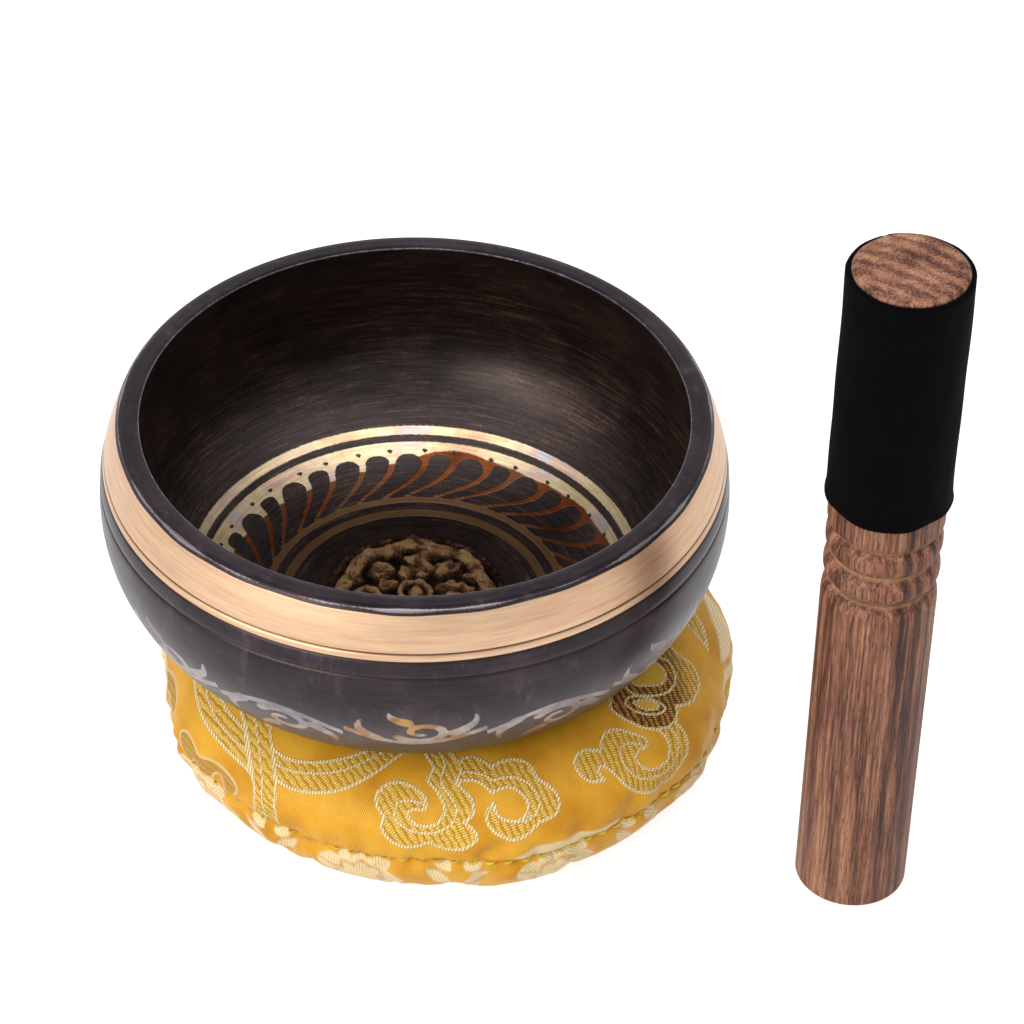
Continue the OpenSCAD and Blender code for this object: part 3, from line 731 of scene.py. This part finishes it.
def silk_brocade_material():
    """Woven silk and rayon brocade: a glossy gold satin ground with raised clouds outlined in cream cord.

    It gives the eye a fine diagonal satin grain, grainy gold filling inside the figures, a thick pale
    cord of slanted stitches round each of them, and a soft shine that follows the folds.
    """
    material, tree = new_material("silk_brocade")
    cloth = add(tree, "Attribute", attribute_name="cloth").outputs["Vector"]
    zone = {name: add(tree, "Attribute", attribute_name=name).outputs["Fac"]
            for name in ("figure", "ribbon", "core", "tan", "pale", "brown")}

    def bands(pitch, turn, distortion):
        """Parallel threads at a pitch in millimetres, laid at an angle in degrees on the cloth."""
        laid = add(tree, "Mapping", {"Vector": cloth, "Rotation": (0, 0, math.radians(turn))})
        return add(tree, "TexWave", {"Vector": laid, "Scale": WAVE / pitch, "Distortion": distortion,
                                     "Detail": 2, "Detail Scale": 3}).outputs["Fac"]

    fray = add(tree, "TexNoise", {"Vector": cloth, "Scale": 2.4, "Detail": 2})
    tone = add(tree, "TexNoise", {"Vector": cloth, "Scale": 0.09, "Detail": 3})
    satin = bands(0.36, 28, 1.6)
    across = bands(0.9, -52, 0.3)
    grain = add(tree, "Math", {0: bands(0.46, 66, 3.2), 1: bands(1.3, -30, 3.0)}, operation="MULTIPLY")
    slant = bands(0.62, 20, 1.2)

    def cord(name, wide):
        """The cream cord along a figure's edge, its width in millimetres."""
        away = add(tree, "Math", {0: zone[name]}, operation="ABSOLUTE")
        away = add(tree, "Math", {0: fray, 1: 0.22, 2: away}, operation="MULTIPLY_ADD")
        return add(tree, "MapRange", {"Value": away, "From Min": wide / 2 + 0.17,
                                      "From Max": wide / 2 + 0.03})

    within = {name: add(tree, "MapRange", {"Value": zone[name], "From Min": -0.05, "From Max": full})
              for name, full in (("figure", 0.05), ("tan", 0.05), ("core", 0.05), ("pale", 0.1))}
    inside = strongest(tree, within["figure"], within["tan"])
    cords = strongest(tree, cord("figure", 0.66), cord("ribbon", 0.5), cord("core", 0.5))
    edges = strongest(tree, cord("tan", 0.6), cord("pale", 0.4))

    ground = add(tree, "ValToRGB", {"Fac": weighted(tree, (tone, 1), (satin, 0.35))},
                 stops=[(0.35, "#B4750E"), (0.6, "#D2931C"), (0.85, "#E6B03A")])
    filling = add(tree, "ValToRGB", {"Fac": grain},
                  stops=[(0.0, "#B07C14"), (0.12, "#D3A233"), (0.4, "#F0CF72")])
    # dark brown for the brown weave in the cloud, and for painted shade from the bowl beside it
    brown = add(tree, "ValToRGB", {"Fac": grain},
                stops=[(0.0, "#451E04"), (0.3, "#7C450A"), (0.6, "#DCA842")])
    tan = add(tree, "ValToRGB", {"Fac": grain}, stops=[(0.05, "#A97F2C"), (0.6, "#CFA452")])
    petal = add(tree, "ValToRGB", {"Fac": slant}, stops=[(0.1, "#E0BE82"), (0.7, "#F1DDB2")])
    cream = add(tree, "ValToRGB", {"Fac": slant},
                stops=[(0.05, "#BE9850"), (0.4, "#E6CE98"), (0.85, "#F6E9C2")])
    filling = lay_over(tree, filling, [(zone["brown"], brown), (within["tan"], tan)])
    colour = lay_over(tree, ground, [(inside, filling), (within["core"], "#E0B23A"), (within["pale"], petal),
                                     (edges, "#D9B98A"), (cords, cream)])

    rough = add(tree, "MapRange", {"Value": strongest(tree, cords, inside), "To Min": 0.5, "To Max": 0.6})
    woven = weighted(tree, (across, 0.05), (satin, 0.12))
    filled = add(tree, "Math", {0: grain, 1: 0.9}, operation="MULTIPLY")
    height = add(tree, "Mix", {0: inside, 2: woven, 3: filled})
    plump = add(tree, "Math", {0: slant, 1: 0.6, 2: 0.5}, operation="MULTIPLY_ADD")
    height = add(tree, "Math", {0: cords, 1: plump, 2: height}, operation="MULTIPLY_ADD")
    bump = add(tree, "Bump", {"Height": height, "Strength": 0.7, "Distance": 0.00022})
    shader = add(tree, "BsdfPrincipled", {"Base Color": colour, "Roughness": rough, "Normal": bump,
                                          "Sheen Weight": 0.12, "Sheen Roughness": 0.4,
                                          "Sheen Tint": "#FFD98A", "Specular IOR Level": 0.5,
                                          "Specular Tint": "#FFE2AC"})
    add(tree, "OutputMaterial", {0: shader})
    return material


# the cloth step works on every third row of the section, ten times as large as life
SETTLE_ROWS, SETTLE_COLUMNS = 3, 130
SETTLE_SCALE = 10
SETTLE_FRAMES = 20
MOST_SWELL = 2.5


def between(grid, row_at, column_at):
    """Reads a grid of numbers smoothly between its knots; rows and columns both run round and close."""
    def weights(share):
        """How much each of four knots in a row counts, for a smooth curve through them."""
        return [(-share ** 3 + 2 * share ** 2 - share) / 2, (3 * share ** 3 - 5 * share ** 2 + 2) / 2,
                (-3 * share ** 3 + 4 * share ** 2 + share) / 2, (share ** 3 - share ** 2) / 2]

    low_row, low_column = np.floor(row_at).astype(int), np.floor(column_at).astype(int)
    total = np.zeros((len(row_at), grid.shape[2]))
    for r, row_weight in enumerate(weights(row_at - low_row)):
        for c, column_weight in enumerate(weights(column_at - low_column)):
            knot = grid[(low_row + r - 1) % grid.shape[0], (low_column + c - 1) % grid.shape[1]]
            total += knot * (row_weight * column_weight)[:, None]
    return total


def settle_cover(outline):
    """Blows the sewn cover up under the bowl as cloth, and returns how far each part of it moves, in mm."""
    coarse = outline[:-1:SETTLE_ROWS]
    ring = lathe("settling_cover", coarse + [coarse[0]], (0, 0), SETTLE_COLUMNS)
    start = points_of(ring)
    radius, angle, row = rows_of(start, (0, 0), coarse)
    column = np.round(angle / TURN * SETTLE_COLUMNS).astype(int) % SETTLE_COLUMNS
    from_bowl = np.hypot(start[:, 0] - BOWL_X, start[:, 1])
    press = underside_of_bowl(from_bowl) - 0.8
    over = (start[:, 2] > SEAM_H) & (from_bowl < BOWL_R - 0.5)
    start[:, 2] = np.where(over, np.minimum(start[:, 2], press), start[:, 2])
    move_points(ring, start * SETTLE_SCALE)
    held = ring.vertex_groups.new(name="sewn_or_on_the_table")
    sewn = np.abs(start[:, 2] - SEAM_H) < 0.5
    for number in np.nonzero(sewn | (start[:, 2] < 0.4))[0]:
        held.add([int(number)], 1.0, "REPLACE")
    # the outside of the bowl's lower half and the first points of its well, closed in the middle
    under = [(r, z) for r, z in bowl_outline()[0] if z < FOOT_Z + BELLY_H and r > 0][:60]
    closed = [(0, FOOT_Z)] + under + [(0, FOOT_Z + BELLY_H)]
    weight = lathe("resting_bowl", closed, (BOWL_X, 0), 96)
    move_points(weight, points_of(weight) * SETTLE_SCALE)
    weight.modifiers.new("resting", "COLLISION")
    weight.collision.thickness_outer = 0.003
    cloth = ring.modifiers.new("stuffing", "CLOTH")
    cloth.settings.vertex_group_mass = held.name
    cloth.settings.use_pressure = True
    cloth.settings.uniform_pressure_force = 8
    cloth.settings.shrink_min = -0.02
    cloth.settings.effector_weights.gravity = 0
    cloth.settings.quality = 5
    cloth.settings.tension_stiffness = 15
    cloth.settings.compression_stiffness = 15
    cloth.settings.bending_stiffness = 0.5
    cloth.collision_settings.distance_min = 0.003
    for number in range(SETTLE_FRAMES):
        bpy.context.scene.frame_set(number + 1)
    blown = ring.evaluated_get(bpy.context.evaluated_depsgraph_get())
    flat = np.empty(len(start) * 3)
    blown.data.vertices.foreach_get("co", flat)
    moves = flat.reshape(-1, 3) / MM / SETTLE_SCALE - start
    size = np.maximum(np.linalg.norm(moves, axis=1), 1e-9)
    moves *= (np.minimum(size, MOST_SWELL) / size)[:, None]
    grid = np.zeros((len(coarse), SETTLE_COLUMNS, 3))
    out = moves[:, 0] * np.cos(angle) + moves[:, 1] * np.sin(angle)
    round_ring = -moves[:, 0] * np.sin(angle) + moves[:, 1] * np.cos(angle)
    grid[row, column] = np.column_stack([out, round_ring, moves[:, 2]])
    bpy.data.objects.remove(ring)
    bpy.data.objects.remove(weight)
    bpy.context.scene.frame_set(1)
    return grid


def make_cover():
    """The stuffed ring: two panels of brocade sewn at the rim, pressed into a seat where the bowl rests."""
    outline, top_rows = cover_outline()
    cover = lathe("cushion_cover", outline, (0, 0), 520)
    points = points_of(cover)
    radius, angle, row = rows_of(points, (0, 0), outline[:-1])
    steps = np.concatenate([[0], np.cumsum(np.hypot(*np.diff(np.array(outline), axis=0).T))])
    seam_to_crest, whole = steps[top_rows], steps[-1]
    along = steps[row]
    below = along > whole / 2 + 12
    # on the flat cloth, how far each point lies from the ring's middle
    reach = np.where(below, CREST_R + seam_to_crest - (whole - along), CREST_R + seam_to_crest - along)
    reach = np.maximum(reach, 0.5)
    flat_x, flat_y = reach * np.cos(angle), reach * np.sin(angle)
    # the panel below is another piece of the cloth, so its weave starts 40 mm further on
    store(cover, "cloth", np.column_stack([flat_x, flat_y, np.where(below, 40.0, 0.0)]))
    brocade(cover, flat_x, flat_y, below)
    # the cloud at the right front, and its twin at the left back, is coloured darker brown towards the
    # middle: partly a brown weave, partly painted shade from the bowl beside it
    brown = np.clip((47.5 - np.abs(flat_x) + 0.3 * (np.abs(flat_y) - 18)) / 5, 0, 1)
    in_cloud = inside_by(np.abs(flat_x), -np.abs(flat_y), smooth_outline(CLOUD)) > 0
    store(cover, "brown", np.where(in_cloud & (flat_x * flat_y < 0) & ~below, brown, 0))

    from_seam = np.minimum(along, whole - along)
    outer = np.clip((radius - CREST_R) / (CUSHION_R - CREST_R), 0, 1)
    push = seam_push(angle) * outer
    pucker = -0.75 * np.exp(-(from_seam / 0.7) ** 2)
    pucker -= 0.4 * (0.5 + 0.5 * np.cos(STITCHES * angle)) * np.exp(-from_seam / 1.5)
    pucker += 0.3 * np.sin(31 * angle + 2 * np.sin(5 * angle)) * np.exp(-((from_seam - 3.2) / 2.6) ** 2)
    pucker += 0.16 * np.sin(67 * angle + 3 * np.sin(4 * angle)) * np.exp(-((from_seam - 2) / 1.8) ** 2)
    swell = 0.7 * np.exp(-((from_seam - 7) / 5) ** 2) * (0.6 + 0.4 * np.sin(3 * angle + 1))
    grown = (push + (pucker + swell) * outer) / np.maximum(radius, 1)
    points[:, :2] *= (1 + grown)[:, None]
    points[:, 2] += np.where(points[:, 2] > 2, (seam_height(angle) - SEAM_H) * outer, 0)
    moves = between(settle_cover(outline), row / SETTLE_ROWS, angle / TURN * SETTLE_COLUMNS)
    points[:, 0] += moves[:, 0] * np.cos(angle) - moves[:, 1] * np.sin(angle)
    points[:, 1] += moves[:, 0] * np.sin(angle) + moves[:, 1] * np.cos(angle)
    points[:, 2] = np.maximum(points[:, 2] + moves[:, 2], 0)
    from_bowl = np.hypot(points[:, 0] - BOWL_X, points[:, 1])
    press = underside_of_bowl(from_bowl) - 0.3
    pressed = ~below & (from_bowl < BOWL_R - 0.5)
    points[:, 2] = np.where(pressed, np.minimum(points[:, 2], press), points[:, 2])
    move_points(cover, points)
    finish_piece(cover, "cushion", silk_brocade_material(), 180)
    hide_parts("cushion_top_panel", "cushion_bottom_panel", "cushion_wadding")


def thread_material():
    """Spun polyester sewing thread, yellow green against the gold cloth, with a slight shine on its twist."""
    material, tree = new_material("sewing_thread")
    place = add(tree, "TexCoord").outputs["Object"]
    # the plies of the thread, about 0.25 mm apart
    twist = add(tree, "TexWave", {"Vector": place, "Scale": WAVE / 0.00025, "Distortion": 2},
                bands_direction="DIAGONAL")
    shade = add(tree, "TexNoise", {"Vector": place, "Scale": 90, "Detail": 2})
    hue = add(tree, "ValToRGB", {"Fac": shade},
              stops=[(0.4, "#B7A21C"), (0.52, "#D6C436"), (0.64, "#C99A4A")])
    bump = add(tree, "Bump", {"Height": twist.outputs["Fac"], "Strength": 0.5, "Distance": 0.00006})
    shader = add(tree, "BsdfPrincipled", {"Base Color": hue, "Roughness": 0.5, "Normal": bump,
                                          "Sheen Weight": 0.2})
    add(tree, "OutputMaterial", {0: shader})
    return material


def make_stitches(name, thread, length, tilt, places, replaced, material):
    """A row of hand stitches: a short thread, bowed so that its ends dive into the cloth, and its copies."""
    bpy.ops.object.select_all(action="DESELECT")
    bpy.ops.mesh.primitive_cylinder_add(vertices=8, radius=thread / 2 * MM, depth=length * 0.7 * MM)
    pattern = bpy.context.object
    bpy.ops.object.mode_set(mode="EDIT")
    for end in (1, -1):
        for reach, share in ((0.09, 0.85), (0.06, 0.5)):
            bpy.ops.mesh.select_all(action="DESELECT")
            bpy.ops.object.mode_set(mode="OBJECT")
            tip = max(end * v.co.z for v in pattern.data.vertices)
            for face in pattern.data.polygons:
                face.select = all(end * pattern.data.vertices[v].co.z > tip - 1e-7 for v in face.vertices)
            bpy.ops.object.mode_set(mode="EDIT")
            step = (0, 0, end * reach * length * MM)
            bpy.ops.mesh.extrude_region_move(TRANSFORM_OT_translate={"value": step})
            bpy.ops.transform.resize(value=(share, share, 1))
    bpy.ops.mesh.select_all(action="SELECT")
    bpy.ops.mesh.subdivide(number_cuts=1)
    bpy.ops.object.mode_set(mode="OBJECT")
    bpy.ops.object.transform_apply(location=True, rotation=True, scale=True)
    shape = points_of(pattern)
    run, rise = shape[:, 2] * math.cos(math.radians(tilt)), shape[:, 2] * math.sin(math.radians(tilt))
    # the middle of a stitch stands 0.6 mm out of the seam and its ends sink 0.3 mm into the cloth
    bow = 0.6 - 0.9 * (shape[:, 2] / (length / 2)) ** 2
    stitches = []
    for angle, radius, height in places:
        out = radius + shape[:, 0] + bow
        turn = angle + run / radius
        stitch = bpy.data.objects.new(name, pattern.data.copy())
        bpy.context.scene.collection.objects.link(stitch)
        move_points(stitch, np.column_stack([out * np.cos(turn), out * np.sin(turn),
                                             height + rise + shape[:, 1]]))
        stitches.append(stitch)
    bpy.data.objects.remove(pattern)
    bpy.ops.object.select_all(action="DESELECT")
    for stitch in stitches:
        stitch.select_set(True)
    bpy.context.view_layer.objects.active = stitches[0]
    bpy.ops.object.join()
    row = bpy.context.object
    row.name = name
    bpy.ops.object.mode_set(mode="EDIT")
    bpy.ops.mesh.select_all(action="SELECT")
    bpy.ops.mesh.normals_make_consistent(inside=False)
    bpy.ops.object.mode_set(mode="OBJECT")
    finish_piece(row, "cushion", material, 60)
    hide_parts(replaced)


def sew_cushion():
    """The two rows of stitches that close the cover: round its rim and down in its hole."""
    material = thread_material()
    angles = [TURN * (number + 0.5) / STITCHES for number in range(STITCHES)]
    rim = [(a, CUSHION_R + seam_push(a) - 0.75, seam_height(a)) for a in angles]
    make_stitches("cushion_rim_stitches", 0.55, 2.5, 24, rim, "cushion_outer_seam", material)
    hole = [(TURN * number / HOLE_STITCHES, HOLE_R + 0.1, SEAM_H) for number in range(HOLE_STITCHES)]
    make_stitches("cushion_hole_stitches", 0.45, 1.6, 15, hole, "cushion_inner_seam", material)


# ------------------------------------------------------------------ the mallet
def rosewood_material():
    """Turned and oiled rosewood: mid brown with dark lengthwise streaks and fine open pores."""
    material, tree = new_material("rosewood")
    place = add(tree, "TexCoord").outputs["Object"]
    # growth rings about 3 mm apart, round a heart that lies outside the stick
    heart = add(tree, "Mapping", {"Vector": place, "Location": (-0.05, 0.085, 0), "Scale": (1, 1, 0.05)})
    rings = add(tree, "TexWave", {"Vector": heart, "Scale": WAVE / 0.003, "Distortion": 4, "Detail": 4,
                                  "Detail Scale": 2.2, "Detail Roughness": 0.65},
                wave_type="RINGS", rings_direction="Z")
    # fibres 0.5 mm wide and 13 mm long, pores half as wide, and broad streaks of 5 mm
    fibre = streaked(tree, place, (2100, 2100, 75), 3, 0.7)
    pores = streaked(tree, place, (3800, 3800, 420), 1, 0.5)
    broad = streaked(tree, place, (190, 190, 9), 5, 0.62)
    mixed = weighted(tree, (broad, 1), (rings.outputs["Fac"], 0.2), (fibre, 1.1))
    share = add(tree, "Math", {0: mixed, 1: 2.0}, operation="DIVIDE")
    colour = add(tree, "ValToRGB", {"Fac": share},
                 stops=[(0.41, "#2A1711"), (0.49, "#523126"), (0.56, "#7C503D"), (0.62, "#966852"),
                        (0.72, "#B48868")])
    # the turned necks are cut deeper than the oil went, so their bottoms are pale
    upright = add(tree, "SeparateXYZ", {0: place}).outputs["Z"]
    above = add(tree, "Math", {0: upright, 1: FIRST_NECK * MM}, operation="SUBTRACT")
    beside = add(tree, "Math", {0: above, 1: BEAD / 2 * MM}, operation="PINGPONG")
    among = add(tree, "Math", {0: upright, 1: (FIRST_NECK + BEAD) * MM, 2: (BEAD + 1) * MM},
                operation="COMPARE")
    cut = add(tree, "MapRange", {"Value": beside, "From Min": 0.0006, "From Max": 0.0002, "To Max": 0.5})
    cut = add(tree, "Math", {0: cut, 1: among}, operation="MULTIPLY")
    pits = add(tree, "MapRange", {"Value": pores, "From Min": 0.58, "From Max": 0.68, "To Max": 0.6})
    colour = lay_over(tree, colour, [(pits, "#24110B"), (cut, "#C09A6E")])
    height = add(tree, "Math", {0: fibre, 1: pits}, operation="SUBTRACT")
    bump = add(tree, "Bump", {"Height": height, "Strength": 0.35, "Distance": 0.00012})
    rough = add(tree, "MapRange", {"Value": fibre, "To Min": 0.5, "To Max": 0.7})
    shader = add(tree, "BsdfPrincipled", {"Base Color": colour, "Roughness": rough, "Normal": bump,
                                          "Specular IOR Level": 0.3})
    add(tree, "OutputMaterial", {0: shader})
    return material


def suede_material():
    """Black split suede: no shine, a fine brushed nap and a faint pale edge where the nap catches light."""
    material, tree = new_material("black_suede")
    place = add(tree, "TexCoord").outputs["Object"]
    # nap tufts about 0.5 mm across, brushed lengthwise
    nap = streaked(tree, place, (2000, 2000, 900), 4, 0.7)
    brushed = add(tree, "TexNoise", {"Vector": place, "Scale": 140, "Detail": 3})
    mixed = add(tree, "Math", {0: nap, 1: brushed}, operation="MULTIPLY")
    colour = add(tree, "ValToRGB", {"Fac": mixed},
                 stops=[(0.15, "#010101"), (0.3, "#020203"), (0.45, "#050406")])
    bump = add(tree, "Bump", {"Height": nap, "Strength": 0.8, "Distance": 0.0003})
    shader = add(tree, "BsdfPrincipled", {"Base Color": colour, "Roughness": 0.95, "Normal": bump,
                                          "Specular IOR Level": 0.06, "Sheen Weight": 0.015,
                                          "Sheen Roughness": 0.5, "Sheen Tint": "#9A8FA6"})
    add(tree, "OutputMaterial", {0: shader})
    return material


def make_mallet():
    """The turned stick as designed, in its wood, and the suede sleeve glued round its head."""
    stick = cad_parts["mallet_stick"]
    stick.data.materials.clear()
    stick.data.materials.append(rosewood_material())
    # the wrap is 1 mm thick
    core = SUEDE_R - 1
    low, top = SUEDE_LOW, SUEDE_TOP
    outline = [(core + 0.05, low + 0.3), (SUEDE_R - 0.1, low), (SUEDE_R + 0.12, low + 0.25)]
    outline += [(SUEDE_R, z) for z in np.linspace(low + 1.2, top - 0.5, 60)]
    outline += [(SUEDE_R - 0.12, top - 0.15), (SUEDE_R - 0.45, top), (core + 0.05, top - 0.1)]
    outline += [(core + 0.05, z) for z in np.linspace(top - 1, low + 1, 4)] + [(core + 0.05, low + 0.3)]
    sleeve = lathe("mallet_suede_sleeve", outline, (MALLET_X, MALLET_Y), 144)
    points = points_of(sleeve)
    radius, angle, row = rows_of(points, (MALLET_X, MALLET_Y), outline[:-1])
    hem = np.exp(-(points[:, 2] - low) / 1.6)
    points[:, 2] -= hem * (0.28 + 0.22 * np.sin(3 * angle + 1) + 0.14 * np.sin(8 * angle))
    outer = np.clip((radius - core) / (SUEDE_R - core), 0, 1)
    uneven = 0.05 * np.sin(5 * angle + points[:, 2] * 0.3) + 0.04 * np.sin(11 * angle - points[:, 2] * 0.17)
    uneven += hem * 0.22 * (0.6 + 0.4 * np.sin(4 * angle + 2))
    # the sleeve's long edges meet at the back in a shallow joint
    joint = -0.35 * np.exp(-((np.abs(angle - 1.9)) * SUEDE_R / 0.35) ** 2)
    grown = 1 + outer * (uneven + joint) / radius
    points[:, 0] = MALLET_X + (points[:, 0] - MALLET_X) * grown
    points[:, 1] = MALLET_Y + (points[:, 1] - MALLET_Y) * grown
    move_points(sleeve, points)
    finish_piece(sleeve, "mallet", suede_material(), 60)
    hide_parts("mallet_suede_wrap")


# ------------------------------------------------------------------ light, floor and camera
def aim_camera():
    """A long lens that looks down into the bowl, which sits left of and above the view's middle."""
    distance = 0.7263
    elevation = math.radians(38.85)
    lens = 135.7
    rim_centre = Vector((BOWL_X, 0, RIM_Z)) * MM
    data = bpy.data.cameras.new("camera")
    camera = bpy.data.objects.new("camera", data)
    bpy.context.scene.collection.objects.link(camera)
    data.lens = lens
    data.sensor_width = 36
    away = Vector((0, -math.cos(elevation), math.sin(elevation)))
    straight = (-away).to_track_quat("-Z", "Y").to_matrix()
    # how far the rim's middle sits from the view's middle, as shares of the view's width
    right, up = -0.0944, 0.0974
    yaw = math.atan(right * data.sensor_width / lens)
    pitch = math.atan(up * data.sensor_width / lens * math.cos(yaw))
    turn = Matrix.Rotation(-pitch, 3, "X") @ Matrix.Rotation(yaw, 3, "Y")
    camera.matrix_world = Matrix.Translation(rim_centre + away * distance) @ (straight @ turn).to_4x4()
    data.clip_start = 0.05
    data.clip_end = 20
    bpy.context.scene.camera = camera


def add_softbox(name, place, aim, size, power, colour="#FFFFFF"):
    """One flat soft light, in metres and watts, turned to face a point."""
    data = bpy.data.lights.new(name, "AREA")
    data.shape = "RECTANGLE"
    data.size, data.size_y = size
    data.energy = power
    data.color = linear(colour)[:3]
    light = bpy.data.objects.new(name, data)
    bpy.context.scene.collection.objects.link(light)
    light.location = place
    light.rotation_euler = (Vector(aim) - Vector(place)).to_track_quat("-Z", "Y").to_euler()


def light_room():
    """A white room that is bright at eye height and dark overhead, so that the metal has both to mirror."""
    world = bpy.data.worlds.new("studio")
    bpy.context.scene.world = world
    world.use_nodes = True
    tree = world.node_tree
    tree.nodes.clear()
    direction = add(tree, "TexCoord").outputs["Generated"]
    height = add(tree, "SeparateXYZ", {0: direction}).outputs["Z"]
    room = add(tree, "ValToRGB", {"Fac": height},
               stops=[(0.0, "#FFFFFF"), (0.6, "#FFFFFF"), (0.78, "#8C8A90"), (0.9, "#2A282C"),
                      (1, "#FFFFFF")])
    ray = add(tree, "LightPath")
    shown = lay_over(tree, room, [(ray.outputs["Is Camera Ray"], "#FFFFFF")])
    strength = add(tree, "MapRange", {"Value": ray.outputs["Is Diffuse Ray"], "To Min": 1.0, "To Max": 0.42})
    add(tree, "OutputWorld", {0: add(tree, "Background", {"Color": shown, "Strength": strength})})
    add_softbox("overhead", (BOWL_X * MM, -0.27, 0.95), (BOWL_X * MM, -0.27, 0), (1.7, 0.7), 9.8)
    add_softbox("front_left", (-0.75, -0.8, 0.55), (0, 0, 0.05), (0.8, 0.5), 8.6, "#FFF8EC")


def lay_floor():
    """White seamless studio paper, lit evenly, with only a faint shadow where the pieces touch it."""
    bpy.ops.object.select_all(action="DESELECT")
    bpy.ops.mesh.primitive_plane_add(size=6)
    floor = bpy.context.object
    floor.name = "floor"
    material, tree = new_material("white_paper")
    bounced = add(tree, "LightPath").outputs["Is Diffuse Ray"]
    glow = add(tree, "MapRange", {"Value": bounced, "To Min": 0.8, "To Max": 0.1})
    paper = add(tree, "BsdfPrincipled", {"Base Color": "#BDBDBE", "Roughness": 0.9, "Specular IOR Level": 0,
                                         "Emission Color": "#FFFFFF", "Emission Strength": glow})
    add(tree, "OutputMaterial", {0: paper})
    floor.data.materials.append(material)


aim_camera()
light_room()
lay_floor()
bpy.context.scene.view_settings.view_transform = "Standard"
make_bowl()
make_relief()
make_cover()
sew_cushion()
make_mallet()
